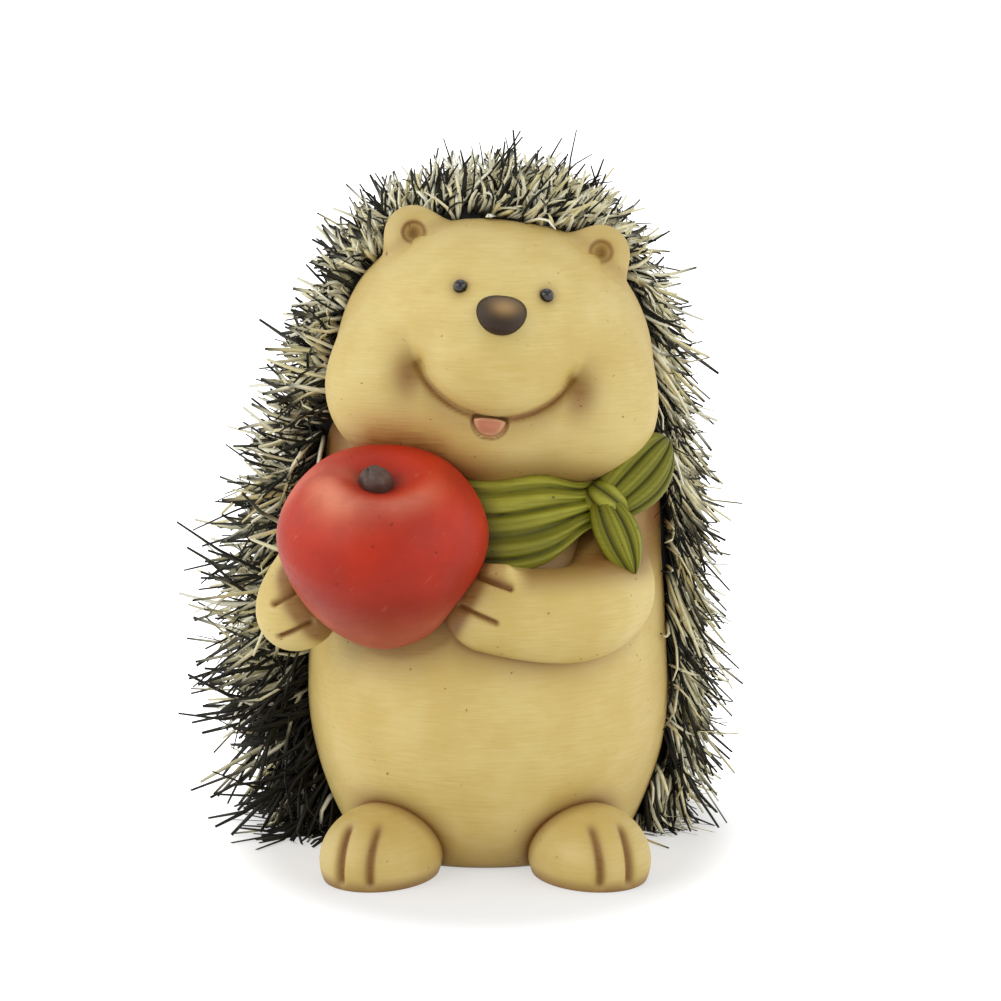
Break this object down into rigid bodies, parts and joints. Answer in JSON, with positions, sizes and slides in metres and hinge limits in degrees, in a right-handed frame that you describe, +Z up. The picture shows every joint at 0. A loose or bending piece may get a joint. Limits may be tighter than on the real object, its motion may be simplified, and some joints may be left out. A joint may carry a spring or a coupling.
{
  "type": "hedgehog figurine",
  "caption": "Standing clay hedgehog ornament that holds an apple, with a moulded neck scarf, a smiling face and a coat of straw and black fibre quills.",
  "frame": {"origin": "on the flat resting face, under the middle of the figure", "axes": "+Z up, the face looks along -Y, and +X is on the right of someone who faces the figure"},
  "size_m": [0.1493, 0.1672, 0.1904],
  "materials": {
    "clay_cream": "fired clay, painted and waxed, cream with a brown wash in the creases",
    "apple_red": "fired clay, painted and waxed, worn red",
    "stem_brown": "fired clay, painted and waxed, dark brown",
    "scarf_green": "fired clay, painted and waxed, olive green with dark folds",
    "nose_brown": "fired clay, painted and waxed, dark brown, rubbed at the top",
    "tongue_pink": "fired clay, painted and waxed, pink",
    "eye_black": "gloss black bead",
    "quill_straw": "black and straw-coloured plant fibre on a black felt backing"
  },
  "bodies": {
    "root": {"body_shell": "clay_cream", "head_shell": "clay_cream", "ear_right": "clay_cream", "ear_left": "clay_cream", "arm_right": "clay_cream", "arm_left": "clay_cream", "foot_right": "clay_cream", "foot_left": "clay_cream", "eye_right": "eye_black", "eye_left": "eye_black", "nose": "nose_brown", "tongue": "tongue_pink", "scarf_band": "scarf_green", "scarf_knot": "scarf_green", "scarf_tail_upper": "scarf_green", "scarf_tail_lower": "scarf_green", "apple": "apple_red", "apple_stem": "stem_brown", "quill_band_1": "quill_straw", "quill_band_2": "quill_straw", "quill_band_3": "quill_straw", "quill_band_4": "quill_straw", "quill_band_5": "quill_straw", "quill_band_6": "quill_straw", "quill_band_7": "quill_straw"}
  },
  "joints": []
}
